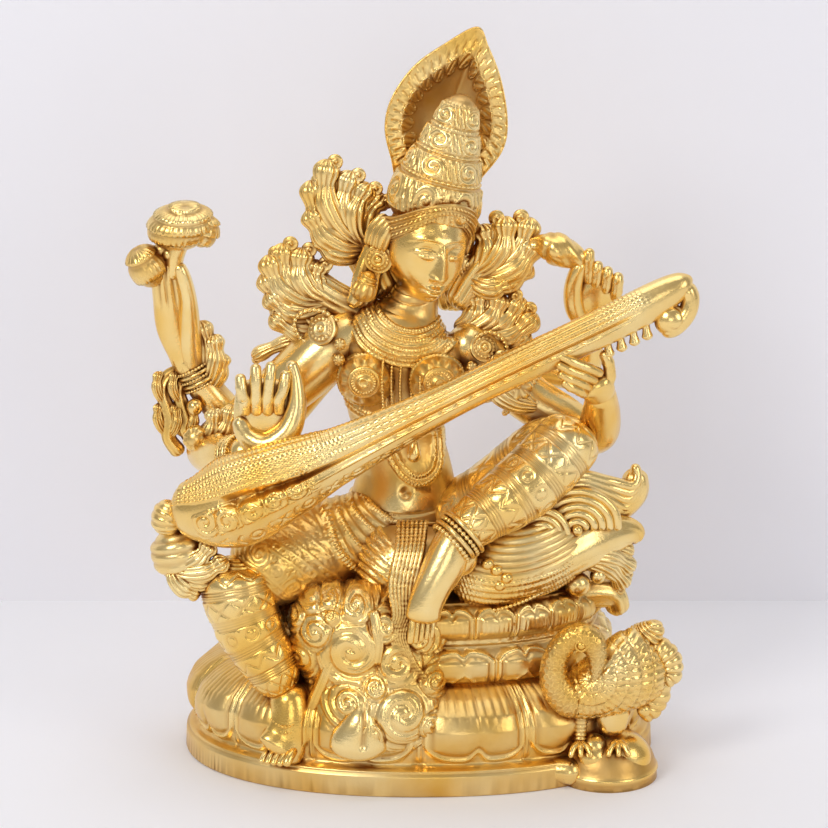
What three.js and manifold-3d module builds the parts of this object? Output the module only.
// A cast brass figure of a four-armed goddess who plays a long lute, seated on a lotus seat over an oval
// lotus base, with a bird on a mound at the base's front right. Millimetres, +Z up, the figure faces -Y.
// The origin is the centre of the base's flat underside.
import * as THREE from "three";
import { mergeVertices } from "three/addons/utils/BufferGeometryUtils.js";
import Module from "manifold-3d";

// Driving sizes in millimetres
const baseWidth = 202; // the oval base, left to right
const baseDepth = 134; // the oval base, front to back
const plinthHeight = 11; // plain rim under the petals
const plinthStep = 2.4; // how far the rim's top steps in
const lotusHeight = 31; // the big hanging petals
const lotusPetals = 14;
const petalSwell = 5; // how far a base petal stands proud
const seatWidth = 160;
const seatDepth = 104;
const seatTierHeight = 15; // each of the two rows of seat petals
const seatWaist = 3.5; // the plain ledge between the tiers
const seatPetals = 18;
const seatSwell = 3;
const seatShift = 2.8; // the seat and the figure stand this far right of the base's middle
const moundRadius = 21; // the bird's mound
const moundHeight = 18;
const birdHeight = 65; // from the ground to the top of its folded wing
const figureHeight = 230; // from the seat's top to the tip of the nimbus

// Places that follow from them
const lotusTop = plinthHeight + lotusHeight;
const seatTop = lotusTop + 2 * seatTierHeight + seatWaist;
const unit = figureHeight / 100; // the figure's own places are in hundredths of its height
const birdUnit = birdHeight / 65;
const birdSpot = new THREE.Vector3(0.775 * (baseWidth / 2), -0.6 * (baseDepth / 2), 0);

const toViewer = [0, -1, 0];
const upward = [0, 0, 1];

const wasm = await Module();
wasm.setup();

// A closed surface on the grid of a sphere: point(turn, along) gives each place, and both ends close to a point.
function closedSurface(sides, rows, point) {
  const geometry = new THREE.SphereGeometry(1, sides, rows);
  const { position, uv } = geometry.attributes;
  for (let i = 0; i < position.count; i++) {
    const row = Math.round((1 - uv.getY(i)) * rows);
    const turn = row === 0 || row === rows ? 0 : uv.getX(i) % 1;
    const place = point(turn, row / rows);
    position.setXYZ(i, place.x, place.y, place.z);
  }
  geometry.deleteAttribute("normal");
  geometry.deleteAttribute("uv");
  return mergeVertices(geometry, 1e-4);
}

// A section carried along a smooth curve. Each station is x, y, z, half width and half depth, and face is the
// way the depth looks. relief(turn, t) multiplies the section, and the ends are closed flat.
function tube(stations, { sides = 6, rows = 3, face = toViewer, relief = () => 1 } = {}) {
  const path = new THREE.CatmullRomCurve3(
    stations.map(([x, y, z]) => new THREE.Vector3(x, y, z)), false, "catmullrom");
  const sizes = new THREE.CatmullRomCurve3(
    stations.map(([, , , w, d = w]) => new THREE.Vector3(w, d, 0)), false, "catmullrom");
  const look = new THREE.Vector3(...face);
  return closedSurface(sides, rows + 2, (turn, along) => {
    const t = THREE.MathUtils.clamp((along * (rows + 2) - 1) / rows, 0, 1);
    const centre = path.getPoint(t);
    if (along === 0 || along === 1) return centre;
    const tangent = path.getTangent(t);
    const wide = new THREE.Vector3().crossVectors(tangent, look).normalize();
    const deep = new THREE.Vector3().crossVectors(wide, tangent);
    const size = sizes.getPoint(t);
    const angle = 2 * Math.PI * turn;
    const cut = relief(turn, t);
    return centre
      .addScaledVector(wide, size.x * Math.cos(angle) * cut)
      .addScaledVector(deep, size.y * Math.sin(angle) * cut);
  });
}

// A leaf: a flat tube with a lobed edge and a rib down its middle, hollow each side of the rib.
function leaf(stations, { lobes = 2, cut = 0.26, hollow = 0.2, sides = 4 } = {}) {
  return tube(stations, {
    sides, rows: 2 * lobes,
    relief: (turn, t) => {
      const side = Math.abs(Math.cos(2 * Math.PI * turn));
      const notch = 1 - cut * side * (0.5 - 0.5 * Math.cos(2 * Math.PI * lobes * t));
      return notch * (1 - hollow * Math.sin(4 * Math.PI * turn) ** 2);
    },
  });
}

// A spiral curl that lies in the plane facing the viewer: it winds in from its rim to its eye.
function volute([x, y, z], radius, { turns = 1.2, start = 0, hand = 1, rise = 0.3 } = {}) {
  const steps = Math.round(turns * 5);
  const stations = [];
  for (let i = 0; i <= steps; i++) {
    const t = i / steps;
    const reach = radius * (1 - 0.78 * t);
    const angle = start + hand * 2 * Math.PI * turns * t;
    const thick = radius * (0.34 - 0.04 * t);
    stations.push([
      x + reach * Math.cos(angle), y - radius * rise * t, z + reach * Math.sin(angle), thick, thick * 1.5,
    ]);
  }
  return tube(stations, { sides: 4, rows: steps });
}

// A round boss, such as a disc, bead, bud or knob.
function boss([x, y, z], halfWidth, halfHeight, halfDepth, sides = 6, rows = 4) {
  const geometry = new THREE.SphereGeometry(1, sides, rows);
  geometry.scale(halfWidth, halfHeight, halfDepth);
  geometry.rotateX(Math.PI / 2);
  geometry.translate(x, y, z);
  geometry.deleteAttribute("normal");
  geometry.deleteAttribute("uv");
  return mergeVertices(geometry, 1e-4);
}

// The horizontal oval of a width and a depth, drawn in by an inset, at a turn from the front going right.
function oval(width, depth, turn, inset = 0) {
  const angle = 2 * Math.PI * turn;
  const squareness = 0.92; // a little fuller than an ellipse
  const bow = (value) => Math.sign(value) * Math.abs(value) ** squareness;
  return new THREE.Vector3(
    (width / 2 - inset) * bow(Math.sin(angle)), -(depth / 2 - inset) * bow(Math.cos(angle)), 0);
}

// A stack of rings: profile lists height and inset, and swell(turn, height) pushes the wall out.
function ringStack(width, depth, profile, sides, swell = () => 0) {
  return closedSurface(sides, profile.length + 1, (turn, along) => {
    const row = Math.round(along * (profile.length + 1));
    const [height, inset] = profile[THREE.MathUtils.clamp(row - 1, 0, profile.length - 1)];
    if (row === 0 || row === profile.length + 1) return new THREE.Vector3(0, 0, height);
    const place = oval(width, depth, turn, inset - swell(turn, height));
    place.z = height;
    return place;
  });
}

// How far one bulging petal of a ring stands out across its width: full in its middle, nothing at its edges.
function petalBulge(turn, count) {
  const across = (turn * count) % 1;
  return Math.sqrt(Math.max(0, 1 - (2 * across - 1) ** 2));
}

// The plinth's plain rim, the ring of big petals that hangs over it, and the bird's mound.
function makeBase() {
  const shoulder = (baseWidth - seatWidth) / 2;
  const petals = ringStack(baseWidth, baseDepth, [
    [0, 0], [plinthHeight - 1.4, 0.4], [plinthHeight, plinthStep + 2], [plinthHeight + 0.32 * lotusHeight, 2.8],
    [plinthHeight + 0.74 * lotusHeight, 7], [lotusTop + 0.5, shoulder],
  ], lotusPetals * 3, (turn, height) => {
    const up = THREE.MathUtils.clamp((height - plinthHeight) / lotusHeight, 0, 1);
    return petalSwell * Math.sin(Math.PI * up) * (petalBulge(turn, lotusPetals) - 0.6);
  });
  const mound = ringStack(2 * moundRadius, 2 * moundRadius, [
    [0, 0.6], [0.3 * moundHeight, 0], [0.75 * moundHeight, 0.3 * moundRadius], [moundHeight, 0.7 * moundRadius],
  ], 12);
  mound.translate(birdSpot.x, birdSpot.y, 0);
  return [petals, mound];
}

// Two rows of petals round the seat, with a plain ledge between them.
function makeSeat() {
  const upperFoot = lotusTop + seatTierHeight + seatWaist;
  const rise = (height) => {
    const foot = height < upperFoot - 1 ? lotusTop : upperFoot;
    return THREE.MathUtils.clamp((height - foot) / seatTierHeight, 0, 1);
  };
  const seat = ringStack(seatWidth, seatDepth, [
    [lotusTop - 1, 3], [lotusTop + 0.6 * seatTierHeight, 0.4], [lotusTop + seatTierHeight, 4.4], [upperFoot, 5.6],
    [upperFoot + 0.6 * seatTierHeight, 3.2], [seatTop, 7],
  ], seatPetals * 3, (turn, height) => seatSwell * Math.sin(Math.PI * rise(height)) * (
    petalBulge(turn, seatPetals) - 0.5));
  return [seat.translate(seatShift, 0, 0)];
}

// The bird stands on its mound, its neck bent back in a loop so that the beak rests on its wing. Places are
// in sixty-fifths of its height, from the foot of the mound's middle.
function makeBird() {
  const forms = [];
  forms.push(tube([
    [-10, -8, 33, 8, 6], [0, -7, 34, 14, 10], [11, -5, 38, 15, 9.5], [19, -3, 44, 9, 7], [25, -1, 47, 3, 4],
  ], { sides: 8, rows: 4 }));
  // Wing, in overlapping rows of feathers
  forms.push(tube([
    [-2, -15, 30, 6, 3], [5, -15.5, 40, 10, 4], [10, -13, 51, 11, 4], [10, -9, 60, 8, 3], [7, -8, 65, 4, 2],
  ], { sides: 6, rows: 4 }));
  forms.push(leaf([[14, 0, 24, 3, 2], [21, 0, 32, 6, 3], [26, 1, 43, 6, 3], [24, 2, 53, 3, 2.4]]));
  forms.push(tube([
    [-6, -12, 30, 8, 6], [-18, -15, 33, 7, 6], [-24.5, -16, 45, 5, 4.6], [-21, -16, 58, 4.2, 4],
    [-14, -16, 63.5, 4.4, 4], [-7, -16.5, 56, 4.2, 3.6], [-3.5, -17, 48, 2.2, 2], [-2, -17, 41, 0.9, 1],
  ], { sides: 6, rows: 7 }));
  for (const x of [-8, 12]) forms.push(tube([[x, -6, 11, 3], [x, -6, 31, 2.2]], { sides: 4, rows: 1 }));
  for (const form of forms) form.scale(birdUnit, birdUnit, birdUnit).translate(birdSpot.x, birdSpot.y, 0);
  return forms;
}

// The figure's forms, in hundredths of its height from the middle of the seat's top.
function makeTorso() {
  const forms = [];
  forms.push(tube([
    [-4, 2, -1, 15, 11], [-4, 1.5, 5, 14, 10.5], [-3.8, 1, 11, 11.5, 8.5], [-3.8, 1, 18, 9.3, 7],
    [-5.2, 1, 26, 8.2, 5.8], [-5, 1.2, 34, 10.4, 6.8], [-4, 1.5, 41, 13, 6.6], [-3.6, 1.5, 45.5, 10.5, 5],
    [-3.4, 1, 48, 5, 4], [-1.8, 0.4, 53, 3.9, 3.9],
  ], { sides: 10, rows: 7 }));
  for (const [x, y] of [[-10.6, -4.3], [1.8, -5]]) forms.push(boss([x, y, 38], 5.4, 5.2, 5.4, 7, 4));
  // Necklace: a ring that follows the chest
  forms.push(tube([
    [-11.2, 0.5, 47.8, 1], [-8.9, -4.6, 43.5, 1.1, 1], [-3.2, -6.6, 41.3, 1.2, 1], [2.3, -4.6, 43.3, 1.1, 1],
    [5, 0.5, 47.2, 1],
  ], { sides: 4, rows: 4, face: upward }));
  return forms;
}

// A round belt about the hips, a festoon that hangs from it over the right thigh, and the end of a sash
// beside the raised leg's foot.
function makeSkirt() {
  const belt = closedSurface(14, 4, (turn, along) => {
    const angle = 2 * Math.PI * turn;
    const closed = along === 0 || along === 1;
    const ring = 1.1 * Math.sin(Math.PI * along);
    const reach = closed ? 0 : 1;
    return new THREE.Vector3(
      -3.9 + reach * (11.8 + ring) * Math.sin(angle), 1 - reach * (9.2 + ring) * Math.cos(angle),
      11.4 + 2.6 * (along - 0.5) - 0.1 * reach);
  });
  const festoon = tube([
    [-15, -7, 9.6, 1, 1.1], [-12, -12.6, 3.2, 1.2], [-5, -16.6, -1, 1.2], [0, -17.6, -0.6, 1],
  ], { sides: 4, rows: 3 });
  const sash = tube([
    [0.2, -20.4, 14.6, 0.9, 1.2], [-3.5, -22.6, 6, 1.1, 1.4], [-4.7, -23.6, 0, 1, 1.4], [-2.2, -24.4, -6, 0.6, 1],
  ], { sides: 4, rows: 3 });
  return [belt, festoon, sash];
}

// Rings of cloth round a leg, as a ripple on its section.
const banded = (bands, deep) => (turn, t) => 1 + deep * Math.cos(2 * Math.PI * bands * t);

function makeLegs() {
  const forms = [];
  // The right leg hangs down to the base
  forms.push(tube([
    [-7, 1, 6, 8, 7], [-20, -8, 6.6, 8.2, 7], [-29, -14, 5.4, 7.4, 7], [-34.6, -17, 3, 5, 5],
  ], { sides: 8, rows: 3, face: upward }));
  forms.push(tube([
    [-34.6, -16.5, 8, 4.5, 4.5], [-34, -17, 4, 6.8, 6.8], [-31.8, -18.4, -4, 6.3, 6.2],
    [-28, -19.6, -11, 5.2, 5], [-24.6, -20.4, -16.5, 3.8, 3.8],
  ], { sides: 8, rows: 6, relief: banded(3, 0.04) }));
  forms.push(tube([
    [-25, -19.4, -16, 3.6], [-24.4, -20.4, -18.4, 5], [-23.8, -20.2, -20.4, 3.7], [-24.8, -21.8, -22.8, 4.2, 3.2],
    [-25.8, -23.2, -25, 4.4, 2.2],
  ], { sides: 8, rows: 4 }));
  forms.push(paw([[-25.6, -23, -24.4, 4.4, 2.6], [-27.4, -24.6, -28.4, 4.6, 1.3]], 4, { rows: 1 }));
  // The left leg is drawn up, its foot hanging before the seat
  forms.push(tube([
    [2, 1, 7, 8, 7.5], [12.6, -3, 14.6, 8, 7.6], [21, -7, 24.6, 6.4, 6.4], [26, -9.6, 30.4, 4.4, 4.4],
  ], { sides: 8, rows: 3, face: upward }));
  forms.push(tube([
    [28.6, -9.2, 31.4, 3.4, 3.4], [26.4, -11, 28.4, 6, 5.8], [17.5, -15.4, 21, 6.6, 6.2],
    [9.4, -19, 16, 5, 4.8], [4.6, -20.9, 12.8, 3.7, 3.6],
  ], { sides: 8, rows: 8, face: upward, relief: banded(4, 0.04) }));
  forms.push(tube([
    [6.4, -20.4, 14, 3.6, 3.4], [3.2, -21.6, 11.6, 3.8, 3.6], [1, -23.4, 4.6, 4.2, 2.8], [-0.6, -24.8, -1, 4, 2],
  ], { sides: 8, rows: 3 }));
  forms.push(boss([6.6, -19.6, 9], 3.2, 3.4, 2.6));
  forms.push(paw([[0, -24.4, 0.6, 4, 2.4], [-1.2, -25.4, -5.6, 3.6, 1.2]], 4, { rows: 1 }));
  return forms;
}

// A hand or the front of a foot: one flat tube whose section is grooved between its digits.
function paw(stations, digits, { face = toViewer, rows = 2, groove = 0.24 } = {}) {
  return tube(stations, {
    sides: 4 * digits, rows, face,
    relief: (turn, t) => {
      const angle = 2 * Math.PI * turn;
      const inside = 1 - Math.cos(angle) ** 8;
      return 1 - groove * Math.min(1, 2 * t) * inside * Math.cos(digits * angle) ** 2;
    },
  });
}

function makeArms() {
  const forms = [];
  // Front right arm, whose hand plucks the strings
  forms.push(tube([
    [-12, 1, 45.5, 4], [-17, 1.2, 43.4, 5], [-24, 1.8, 37, 4.3], [-33, 3.2, 29.6, 3.8], [-41, 4.3, 23.4, 3.2],
  ], { sides: 6, rows: 4 }));
  forms.push(tube([
    [-40.6, 5.4, 23, 3], [-39.4, 0, 23, 3.8], [-36, -7.4, 24.4, 3.3], [-34.4, -9.4, 25, 4.1], [-31, -14.4, 26.6, 2.5],
  ], { sides: 6, rows: 4, face: upward }));
  forms.push(paw([
    [-30, -15.2, 27.6, 3.2, 2.2], [-28.6, -16.6, 32, 5.4, 2.6], [-28.3, -17.2, 37, 5.8, 2.2],
    [-27.8, -17.4, 43.2, 4.4, 1.3],
  ], 4));
  // Back right arm, which lifts two lotus buds
  forms.push(tube([
    [-12, 5, 44, 4], [-19, 5.6, 38, 4], [-26, 6.6, 29, 3.6], [-31, 7, 23, 3],
  ], { sides: 6, rows: 3 }));
  forms.push(tube([
    [-29.6, 7, 22.6, 3], [-35, 7, 27, 3.3], [-39.8, 6.6, 32.4, 3.1], [-43, 6.3, 36.6, 3.7], [-44.4, 6, 40.6, 2.7],
  ], { sides: 6, rows: 4 }));
  forms.push(paw([
    [-44.2, 6, 39.6, 2.8, 2.6], [-46, 5.4, 46, 4.2, 2.6], [-45.6, 4.2, 52.4, 4.4, 2.6], [-46, 2.8, 58, 3.4, 2.2],
  ], 4));
  forms.push(tube([[-46, 2.4, 55, 2], [-44.4, 1.9, 63, 2]], { sides: 4, rows: 1 }));
  forms.push(boss([-44, 1.7, 65], 5.8, 4, 5, 8, 4));
  forms.push(boss([-50.7, 1.6, 57.4], 3.6, 4.3, 3.6));
  // Front left arm, whose hand holds the lute's neck
  forms.push(tube([
    [7, 0.6, 42.6, 4.4], [12.4, 0.6, 37.6, 4.7], [15.4, 0.2, 35.6, 5.6], [19, -0.6, 33.4, 4.7], [25.6, -2.2, 30, 4.1],
    [30.6, -3.6, 27.4, 3],
  ], { sides: 6, rows: 5 }));
  forms.push(tube([
    [29.6, -1.6, 26.2, 3.2], [31.2, -6, 28.8, 3.8], [31.2, -10.6, 33, 3.4], [30.6, -15, 37.6, 2.6],
  ], { sides: 6, rows: 3, face: upward }));
  forms.push(paw([
    [30.8, -14.6, 36.6, 2.5, 2.2], [30, -18, 40.2, 4, 2.4], [27.2, -20.2, 42.8, 4.2, 2], [23.4, -21.2, 44.8, 3.4, 1.4],
  ], 4));
  // Back left arm, which lifts a bud
  forms.push(tube([
    [8, 5, 42, 4], [17, 6.4, 39.4, 3.8], [25, 7.6, 37, 3.3], [30.6, 8, 35.6, 2.8],
  ], { sides: 6, rows: 3 }));
  forms.push(tube([
    [29.4, 8.2, 34.4, 2.8], [30, 7.2, 40, 2.9], [30.2, 5, 46, 2.4], [30.6, 4, 50, 2.4],
  ], { sides: 6, rows: 4 }));
  forms.push(paw([
    [30.2, 4, 47.6, 2.6, 1.9], [31, 2.6, 52, 4.7, 2.3], [31, 1.4, 56, 4.4, 1.9], [30, 0.6, 60, 2.8, 1.3],
  ], 4));
  forms.push(tube([
    [30, 0.6, 58.4, 1.2], [27, 0.6, 60, 2.2], [23.6, 0.9, 60.8, 2.7], [19.6, 2, 61.6, 1.6],
  ], { sides: 6, rows: 3 }));
  return forms;
}

// The head is shaped about its own middle, then tilted, turned to its left and bowed.
function makeHead() {
  const turnHead = new THREE.Matrix4().makeRotationFromEuler(
    new THREE.Euler(THREE.MathUtils.degToRad(8), THREE.MathUtils.degToRad(10.5), THREE.MathUtils.degToRad(20), "YXZ"));
  const place = new THREE.Matrix4().makeTranslation(1.3, -1.7, 60.5).multiply(turnHead);
  const near = (value, middle, spread) => Math.exp(-(((value - middle) / spread) ** 2));
  const skull = closedSurface(12, 10, (turn, along) => {
    const down = Math.PI * along;
    const angle = 2 * Math.PI * turn;
    const z = 1 + 9 * Math.cos(down);
    const jaw = 1 - 0.22 * near(z, -8, 4);
    const x = 7.9 * Math.sin(down) * Math.sin(angle) * jaw;
    let y = -7.9 * Math.sin(down) * Math.cos(angle);
    if (y < 0) y -= 1.7 * near(x, 0, 1.6) * near(z, -2.4, 2.2) + 0.6 * near(x, 0, 2.2) * near(z, -6.6, 1.4);
    return new THREE.Vector3(x, y, z);
  });
  const forms = [skull];
  for (const side of [-1, 1])
    forms.push(tube([
      [side * 8, 0.8, 2, 1.6, 2.6], [side * 8.4, 0.8, -1.4, 2.4, 3.4], [side * 9, 1, -5, 1.8, 2], [side * 9.2, 1, -9.6, 2.3],
    ], { sides: 6, rows: 3 })); // ear disc and its tassel
  // Crown: a broad band at the brow, then tiers that narrow to a round tip and lean to the left shoulder
  const profile = [
    [7, 7.2], [9, 8], [11.4, 7.7], [15.2, 6.5], [16, 6], [19.4, 5.2], [20.2, 4.6], [24, 3.5], [24.8, 2.9], [27.4, 1.6],
    [28.4, 0.7],
  ];
  const crown = new THREE.LatheGeometry(
    [new THREE.Vector2(0, profile[0][0]), ...profile.map(([z, r]) => new THREE.Vector2(r, z)),
      new THREE.Vector2(0, profile.at(-1)[0] + 0.3)], 10);
  crown.rotateX(Math.PI / 2);
  crown.rotateY(THREE.MathUtils.degToRad(4));
  crown.deleteAttribute("normal");
  crown.deleteAttribute("uv");
  forms.push(mergeVertices(crown, 1e-4));
  forms.forEach((form) => form.applyMatrix4(place));
  return forms;
}

// The nimbus: a pointed leaf, hollow to the front like a shell, with a rayed rim.
function makeNimbus() {
  const length = 31;
  const halfWidth = 11.4;
  const hollow = 4.4;
  const wall = 1;
  const lean = THREE.MathUtils.degToRad(14.5);
  const width = (t) => halfWidth * Math.sin(Math.PI * Math.min(1, t ** 0.86)) ** 0.62;
  const sheet = closedSurface(16, 6, (turn, along) => {
    const front = along <= 0.5;
    const out = front ? along * 2 : (1 - along) * 2;
    const angle = 2 * Math.PI * turn;
    const rise = 0.5 - 0.5 * Math.cos(angle);
    const edge = new THREE.Vector3(Math.sign(Math.sin(angle)) * width(rise), 0, length * (rise - 0.45));
    const ray = 1 + 0.012 * Math.cos(12 * angle);
    const spot = edge.multiplyScalar(out * ray);
    spot.y = hollow * (1 - out ** 2) + (front ? -0.5 : 0.8) * wall;
    return spot;
  });
  sheet.rotateX(THREE.MathUtils.degToRad(-4));
  sheet.rotateY(lean);
  sheet.translate(3.9, 4.6, 83);
  const neck = tube([[0, 2, 66, 4, 3], [1.5, 6.5, 74, 5, 2], [3, 8.4, 82, 4, 1.2]], { sides: 6, rows: 2 });
  return [sheet, neck];
}

// Locks and leaves that stand out each side of the head, and the sash ends beside the raised arm.
function makeFoliage() {
  const wide = { lobes: 3, cut: 0.3, sides: 8 };
  return [
    leaf([[-7, 3, 54, 4, 2.4], [-10.6, 3.4, 61, 7.4, 2.6], [-13.6, 3.5, 66.6, 8, 2.4], [-16, 3.4, 71.6, 5.8, 2],
      [-18.4, 3.2, 76, 1.8, 1.2]], { ...wide, cut: 0.24 }),
    leaf([[-8, 2.4, 50, 3, 2.2], [-15, 2.6, 50.6, 4, 2.4], [-21, 2.6, 53, 5, 2.4], [-25, 2.6, 57, 5.4, 2.2],
      [-27.6, 2.6, 61.4, 2.4, 1.6]], wide),
    leaf([[-10, 1.4, 47, 3, 2], [-18, 1, 49, 3.2, 2.2], [-23.6, 0.8, 49, 2.6, 1.8], [-28, 0.8, 49.6, 1.6, 1.2]]),
    leaf([[-15, 3, 44, 2.4, 2], [-20, 3.4, 45, 2.8, 2.2], [-24.6, 3.6, 42, 2, 1.6], [-30, 4, 40, 2, 1.6],
      [-33.6, 4, 38.8, 1.2, 1.2]], { lobes: 3 }),
    leaf([[7, 3, 54, 4, 2.2], [11.6, 3.4, 57.6, 5.6, 2.6], [15.6, 3.5, 60.4, 4.6, 2.2], [18.4, 3.5, 65.6, 2.2, 1.6]], wide),
    leaf([[4, 2, 47, 4, 2.4], [10, 2.4, 46, 5, 2.6], [15, 2.6, 47, 4.6, 2.4], [19.6, 2.6, 49.6, 2.8, 1.8]], wide),
    leaf([[5, 1.6, 43, 3, 2], [11, 2, 42, 3.4, 2.2], [16, 2, 43, 2.8, 1.8], [19.4, 2, 45.4, 1.8, 1.4]]),
    leaf([[-44.4, 7, 42, 2.4, 1.8], [-48.4, 6.6, 40.6, 2.8, 2], [-50.2, 6.4, 34.3, 3, 2], [-48.6, 5.6, 26.9, 3, 2],
      [-45.6, 4.4, 20.8, 1.8, 1.6]], { lobes: 3 }),
    leaf([[-44, 6.6, 30, 2.6, 1.8], [-47, 6, 25, 3.2, 2], [-44, 5, 20.6, 2.4, 1.8]]),
  ];
}

// The lute lies across the figure, its pear-shaped body on the right thigh and its neck over the left shoulder.
function makeLute() {
  const forms = [];
  forms.push(tube([
    [-43.6, -20, 15.6, 2.4, 2.4], [-41.6, -20.4, 16.6, 6.2, 5.2], [-34.4, -20.9, 18.4, 8.4, 6.6],
    [-24.6, -20.9, 22.4, 7, 5.8], [-13.4, -20.9, 27.8, 5, 4.2], [0, -20.6, 33.2, 4.2, 3.2],
    [13, -20, 39.1, 3.8, 2.8], [26, -19.2, 46.1, 3.5, 2.6], [38, -18.3, 52.8, 3.2, 2.4], [43, -18, 55.6, 2.8, 2.2],
  ], { sides: 8, rows: 9 }));
  // Fingerboard, a raised flat band near the upper edge with frets across it
  forms.push(tube([
    [-42, -24, 18.6, 1.6, 1.6], [-34, -26.6, 23, 2.2, 1.8], [-24.6, -25.8, 26.6, 2.1, 1.8],
    [-13.4, -24.6, 30.6, 2, 1.7], [0, -23.4, 35.4, 1.9, 1.5], [13, -22.6, 41.1, 1.8, 1.4], [26, -21.6, 47.9, 1.7, 1.3],
    [38, -20.6, 54.6, 1.6, 1.2], [43.6, -19.6, 57.6, 1.5, 1.2],
  ], { sides: 4, rows: 5 }));
  // Scroll at the far end, which bends down and back
  forms.push(tube([
    [36, -18.4, 53.2, 2.4, 2.2], [41, -18, 57.2, 2.6, 2.4], [44.4, -17.6, 57.4, 2.1, 2.2], [44.4, -17.4, 53.8, 2.4, 2.3],
    [42.8, -17.4, 50.8, 2.8, 2.6], [40.6, -17.6, 49.6, 2.4, 2.4], [39.2, -17.8, 51, 1.4, 1.6],
  ], { sides: 6, rows: 6 }));
  for (let i = 0; i < 3; i++) {
    const x = 31 + 2.8 * i;
    const z = 45.6 + 1.5 * i;
    forms.push(tube([[x, -19, z + 1.6, 0.9, 0.9], [x + 0.7, -19, z - 1, 1, 1]],
      { sides: 4, rows: 1 }));
  }
  // Knobs at the body's end
  forms.push(boss([-43.2, -17.4, 9.2], 5.4, 7, 4.2, 7, 4));
  forms.push(boss([-44.4, -18, 15], 2.8, 3.2, 2.8));
  forms.push(tube([[-38, -16, 9, 2.4, 2.4], [-34, -15, 9.6, 2.4, 2.4]], { sides: 4, rows: 1 }));
  return forms;
}

// The cloth that falls from the seat to the base between the legs, heaped in spiral folds, and the big leaves
// behind the raised leg.
function makeDrapery() {
  const forms = [];
  forms.push(tube([
    [-9, -14, 0, 15, 9], [-10, -17.6, -6, 14.6, 8], [-8.6, -19.4, -13, 12, 7.2], [-7.6, -20.8, -20, 10, 6],
    [-7.4, -21.6, -26, 7, 4],
  ], { sides: 8, rows: 4 }));
  const curls = [
    [-21.4, -21.4, 0.8, 3.8, 1], [-18.8, -22.4, -7, 3, 1], [-12.6, -25, -11, 4.2, -1], [-12.6, -26.6, -20.6, 3.4, 1],
    [-3.8, -25.6, -17, 4.4, -1],
  ];
  for (const [x, y, z, radius, way] of curls) {
    forms.push(volute([x, y, z], radius, { hand: way, start: way > 0 ? 2.4 : 0.7 }));
  }
  // Leaves behind the raised leg
  forms.push(tube([[6, 0, 1, 12, 8], [20, -1, 5, 11, 6], [31, 0, 6, 7, 4]], { sides: 6, rows: 2, face: upward }));
  const feathered = { lobes: 3, cut: 0.22, sides: 8 };
  forms.push(leaf([[8, -12, 8, 5, 3], [18, -11, 12.6, 6, 3.6], [27, -7, 14.6, 4.8, 3.4], [34, -3, 14.4, 4, 2.6],
    [39, -1.6, 15.6, 2.8, 2], [40.4, -1.4, 19, 1.4, 1.4]], feathered));
  forms.push(leaf([[7, -14.6, 3, 5, 3], [18, -14, 7, 5.6, 3.6], [28, -9.6, 9.6, 5.4, 3.4], [35, -4.4, 9, 3.6, 2.4],
    [38.6, -3.4, 9, 1.8, 1.4]], feathered));
  forms.push(leaf([[7, -16, -1.2, 3, 2.4], [17, -15.4, 1.8, 4, 3], [26, -11, 4, 4.4, 3], [33, -6.6, 2.6, 4.4, 2.6],
    [36, -5.4, -3, 2.6, 2]], { lobes: 3 }));
  forms.push(volute([29, -11.4, 14.6], 3.6, { hand: 1, start: 2.6 }));
  return forms;
}

// A geometry as a manifold solid that faces out.
function solidOf(geometry) {
  const triVerts = new Uint32Array(geometry.index.array);
  const build = () => new wasm.Manifold(new wasm.Mesh({
    numProp: 3, vertProperties: new Float32Array(geometry.attributes.position.array), triVerts,
  }));
  const made = build();
  if (made.volume() >= 0) return made;
  for (let i = 0; i < triVerts.length; i += 3)
    [triVerts[i + 1], triVerts[i + 2]] = [triVerts[i + 2], triVerts[i + 1]];
  return build();
}

function geometryOf(solid) {
  const { vertProperties, triVerts } = solid.getMesh();
  const geometry = new THREE.BufferGeometry();
  geometry.setAttribute("position", new THREE.BufferAttribute(new Float32Array(vertProperties), 3));
  geometry.setIndex(new THREE.BufferAttribute(new Uint32Array(triVerts), 1));
  geometry.computeVertexNormals();
  return geometry;
}

const figureForms = [
  ...makeTorso(), ...makeSkirt(), ...makeLegs(), ...makeArms(), ...makeHead(), ...makeNimbus(),
  ...makeFoliage(), ...makeLute(), ...makeDrapery(),
];
for (const form of figureForms) form.scale(unit, unit, unit).translate(seatShift, 0, seatTop);

const casting = [...makeBase(), ...makeSeat(), ...makeBird(), ...figureForms]
  .map(solidOf)
  .reduce((whole, form) => whole.add(form));

const brass = new THREE.MeshStandardMaterial({ color: 0xd9a441, metalness: 1, roughness: 0.32 });
const saraswati = new THREE.Mesh(geometryOf(casting), brass);
saraswati.name = "saraswati_figure";

const object = new THREE.Group();
object.add(saraswati);
export default object;
